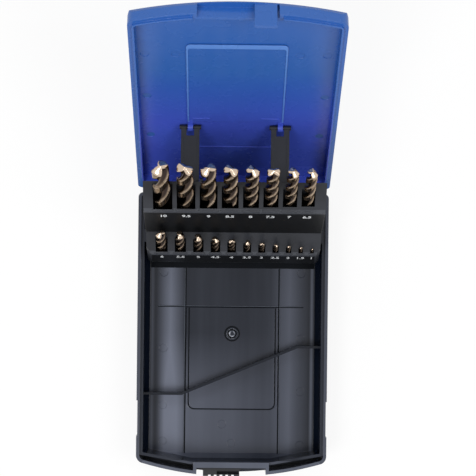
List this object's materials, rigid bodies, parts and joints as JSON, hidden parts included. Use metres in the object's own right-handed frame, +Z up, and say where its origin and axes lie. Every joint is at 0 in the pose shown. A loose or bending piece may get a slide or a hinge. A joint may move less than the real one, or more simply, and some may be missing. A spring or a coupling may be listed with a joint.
{
  "type": "drill bit case",
  "caption": "Hinged plastic case for metric twist drills, with a stepped drill holder that the lid raises through two link straps, and a sliding front latch.",
  "frame": {"origin": "centre of the tray's flat underside", "axes": "+Z up, +Y towards the lid's hinge, +X to the right seen from the front latch"},
  "size_m": [0.118, 0.2729, 0.1848],
  "materials": {
    "tray": "semi-gloss moulded black",
    "lid": "fine-grained moulded blue",
    "holder": "satin moulded black",
    "strap": "satin moulded black",
    "latch": "satin moulded black",
    "drill": "ground steel with a bronze temper colour"
  },
  "bodies": {
    "base": {"tray": "tray"},
    "lid": {"lid": "lid"},
    "holder": {"drill_holder": "holder"},
    "link_left": {"strap_left": "strap"},
    "link_right": {"strap_right": "strap"},
    "latch": {"latch_slider": "latch"},
    "bit_10_0": {"drill_10_0": "drill"},
    "bit_9_5": {"drill_9_5": "drill"},
    "bit_9_0": {"drill_9_0": "drill"},
    "bit_8_5": {"drill_8_5": "drill"},
    "bit_8_0": {"drill_8_0": "drill"},
    "bit_7_5": {"drill_7_5": "drill"},
    "bit_7_0": {"drill_7_0": "drill"},
    "bit_6_5": {"drill_6_5": "drill"},
    "bit_6_0": {"drill_6_0": "drill"},
    "bit_5_5": {"drill_5_5": "drill"},
    "bit_5_0": {"drill_5_0": "drill"},
    "bit_4_5": {"drill_4_5": "drill"},
    "bit_4_0": {"drill_4_0": "drill"},
    "bit_3_5": {"drill_3_5": "drill"},
    "bit_3_0": {"drill_3_0": "drill"},
    "bit_2_5": {"drill_2_5": "drill"},
    "bit_2_0": {"drill_2_0": "drill"},
    "bit_1_5": {"drill_1_5": "drill"},
    "bit_1_0": {"drill_1_0": "drill"}
  },
  "joints": [
    {"name": "lid_hinge", "type": "hinge", "parent": "base", "child": "lid", "pos_m": [0, 0.0904, 0.0275], "axis": [-1, 0, 0], "range_deg": [-120, 0]},
    {"name": "holder_pivot", "type": "hinge", "parent": "base", "child": "holder", "pos_m": [0, 0.061, 0.0194], "axis": [-1, 0, 0], "range_deg": [-107.52, 0]},
    {"name": "link_left_pivot", "type": "hinge", "parent": "lid", "child": "link_left", "pos_m": [-0.0264, 0.12486, 0.07919], "axis": [-1, 0, 0], "range_deg": [0, 109.48]},
    {"name": "link_right_pivot", "type": "hinge", "parent": "lid", "child": "link_right", "pos_m": [0.0264, 0.12486, 0.07919], "axis": [-1, 0, 0], "range_deg": [0, 109.48]},
    {"name": "latch_slide", "type": "slide", "parent": "base", "child": "latch", "axis": [1, 0, 0], "range_m": [0, 0.014]},
    {"name": "drill_10_0_slide", "type": "slide", "parent": "holder", "child": "bit_10_0", "axis": [0, 0.3007, 0.9537], "range_m": [0, 0.0925]},
    {"name": "drill_9_5_slide", "type": "slide", "parent": "holder", "child": "bit_9_5", "axis": [0, 0.3007, 0.9537], "range_m": [0, 0.0855]},
    {"name": "drill_9_0_slide", "type": "slide", "parent": "holder", "child": "bit_9_0", "axis": [0, 0.3007, 0.9537], "range_m": [0, 0.0865]},
    {"name": "drill_8_5_slide", "type": "slide", "parent": "holder", "child": "bit_8_5", "axis": [0, 0.3007, 0.9537], "range_m": [0, 0.0795]},
    {"name": "drill_8_0_slide", "type": "slide", "parent": "holder", "child": "bit_8_0", "axis": [0, 0.3007, 0.9537], "range_m": [0, 0.0805]},
    {"name": "drill_7_5_slide", "type": "slide", "parent": "holder", "child": "bit_7_5", "axis": [0, 0.3007, 0.9537], "range_m": [0, 0.0735]},
    {"name": "drill_7_0_slide", "type": "slide", "parent": "holder", "child": "bit_7_0", "axis": [0, 0.3007, 0.9537], "range_m": [0, 0.0745]},
    {"name": "drill_6_5_slide", "type": "slide", "parent": "holder", "child": "bit_6_5", "axis": [0, 0.3007, 0.9537], "range_m": [0, 0.0675]},
    {"name": "drill_6_0_slide", "type": "slide", "parent": "holder", "child": "bit_6_0", "axis": [0, 0.3007, 0.9537], "range_m": [0, 0.0343]},
    {"name": "drill_5_5_slide", "type": "slide", "parent": "holder", "child": "bit_5_5", "axis": [0, 0.3007, 0.9537], "range_m": [0, 0.0343]},
    {"name": "drill_5_0_slide", "type": "slide", "parent": "holder", "child": "bit_5_0", "axis": [0, 0.3007, 0.9537], "range_m": [0, 0.0343]},
    {"name": "drill_4_5_slide", "type": "slide", "parent": "holder", "child": "bit_4_5", "axis": [0, 0.3007, 0.9537], "range_m": [0, 0.0343]},
    {"name": "drill_4_0_slide", "type": "slide", "parent": "holder", "child": "bit_4_0", "axis": [0, 0.3007, 0.9537], "range_m": [0, 0.0343]},
    {"name": "drill_3_5_slide", "type": "slide", "parent": "holder", "child": "bit_3_5", "axis": [0, 0.3007, 0.9537], "range_m": [0, 0.0343]},
    {"name": "drill_3_0_slide", "type": "slide", "parent": "holder", "child": "bit_3_0", "axis": [0, 0.3007, 0.9537], "range_m": [0, 0.0343]},
    {"name": "drill_2_5_slide", "type": "slide", "parent": "holder", "child": "bit_2_5", "axis": [0, 0.3007, 0.9537], "range_m": [0, 0.0343]},
    {"name": "drill_2_0_slide", "type": "slide", "parent": "holder", "child": "bit_2_0", "axis": [0, 0.3007, 0.9537], "range_m": [0, 0.0343]},
    {"name": "drill_1_5_slide", "type": "slide", "parent": "holder", "child": "bit_1_5", "axis": [0, 0.3007, 0.9537], "range_m": [0, 0.0343]},
    {"name": "drill_1_0_slide", "type": "slide", "parent": "holder", "child": "bit_1_0", "axis": [0, 0.3007, 0.9537], "range_m": [0, 0.0343]}
  ],
  "couplings": [
    {"joint": "holder_pivot", "follows": "lid_hinge", "ratio": 0.89583},
    {"joint": "link_left_pivot", "follows": "lid_hinge", "ratio": -0.91217},
    {"joint": "link_right_pivot", "follows": "lid_hinge", "ratio": -0.91217}
  ]
}
